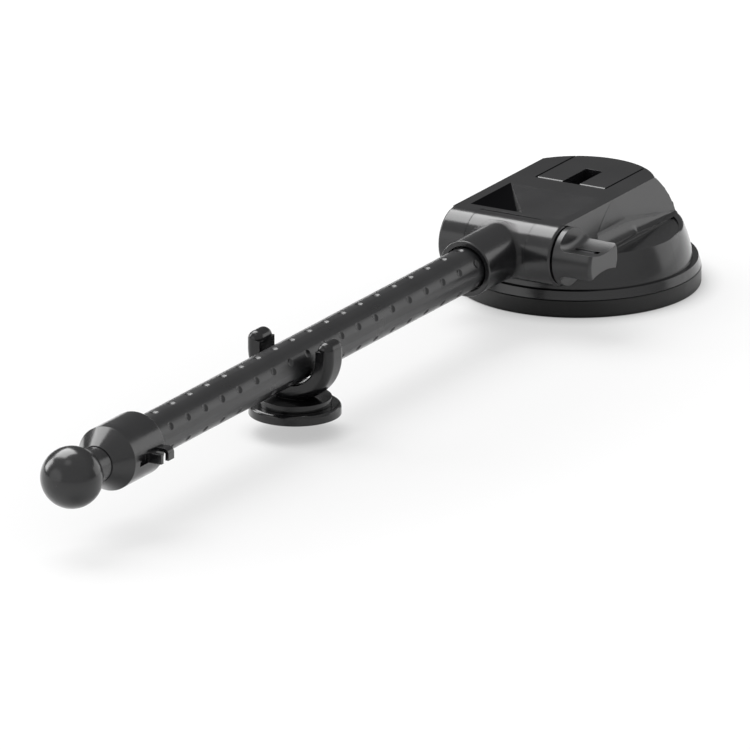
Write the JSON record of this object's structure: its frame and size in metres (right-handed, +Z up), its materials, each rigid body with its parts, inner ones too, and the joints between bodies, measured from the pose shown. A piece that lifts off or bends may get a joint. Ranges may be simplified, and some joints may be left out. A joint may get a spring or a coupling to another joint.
{
  "type": "suction cup phone holder arm",
  "caption": "Suction base with cam lever and hinged arm tube, wing knob, twist collar, sliding foot cradle and a ball stud for a phone clamp.",
  "frame": {"origin": "centre of the suction face, where the base's axis meets the ground plane of the pad", "axes": "+Z up out of the surface the base is stuck to; the arm and the ball point along -Y; +X is the side of the wing knob"},
  "size_m": [0.0678, 0.3149, 0.0294],
  "materials": {
    "body_plastic": "satin moulded",
    "tube_metal": "satin black",
    "gel": "smooth soft gel",
    "rubber_black": "matte",
    "steel": "turned",
    "brass": "machined",
    "bush_plastic": "natural"
  },
  "bodies": {
    "base": {"base_housing": "body_plastic", "gel_pad": "gel", "suction_membrane": "gel", "clamp_ring": "body_plastic", "ring_screws": "steel", "pivot_bolt": "steel", "bolt_washer": "steel", "stem_spring": "steel"},
    "stem": {"suction_stem": "steel", "stem_plate": "body_plastic", "cross_pin": "steel"},
    "lever": {"cam_lever": "body_plastic"},
    "knob": {"thrust_washer": "rubber_black", "wing_knob": "body_plastic", "knob_insert": "brass"},
    "arm": {"arm_hub": "body_plastic", "hub_bush": "bush_plastic", "friction_washers": "rubber_black", "arm_tube": "tube_metal", "collet_ring": "bush_plastic"},
    "collar": {"lock_collar": "body_plastic", "cable_clip": "body_plastic"},
    "ball_rod": {"inner_rod": "tube_metal", "rod_glide": "bush_plastic", "ball_stud": "body_plastic"},
    "cradle": {"cradle_fork": "body_plastic", "swivel_pin": "steel"},
    "foot": {"foot_disc": "body_plastic", "foot_pad": "rubber_black"}
  },
  "joints": [
    {"name": "stem_slide", "type": "slide", "parent": "base", "child": "stem", "axis": [0, 0, -1], "range_m": [0, 0.0025], "deforming": ["stem_spring", "suction_membrane"]},
    {"name": "lever_hinge", "type": "hinge", "parent": "stem", "child": "lever", "pos_m": [0, 0, 0.0247], "axis": [1, 0, 0], "range_deg": [0, 80]},
    {"name": "knob_turn", "type": "hinge", "parent": "base", "child": "knob", "pos_m": [0.024, -0.0378, 0.0205], "axis": [1, 0, 0], "range_deg": [0, 180]},
    {"name": "arm_hinge", "type": "hinge", "parent": "base", "child": "arm", "pos_m": [0, -0.0378, 0.0205], "axis": [-1, 0, 0], "range_deg": [-55, 30]},
    {"name": "collar_twist", "type": "hinge", "parent": "arm", "child": "collar", "pos_m": [0, -0.248, 0.0205], "axis": [0, -1, 0], "range_deg": [0, 60]},
    {"name": "rod_slide", "type": "slide", "parent": "arm", "child": "ball_rod", "axis": [0, -1, 0], "range_m": [0, 0.08]},
    {"name": "cradle_slide", "type": "slide", "parent": "arm", "child": "cradle", "axis": [0, -1, 0], "range_m": [-0.085, 0.08]},
    {"name": "foot_swivel", "type": "hinge", "parent": "cradle", "child": "foot", "pos_m": [0, -0.1539, 0.007], "axis": [0, 0, 1], "range_deg": [-180, 180]}
  ],
  "couplings": [
    {"joint": "lever_hinge", "follows": "stem_slide", "rad_per_m": 558.5}
  ]
}
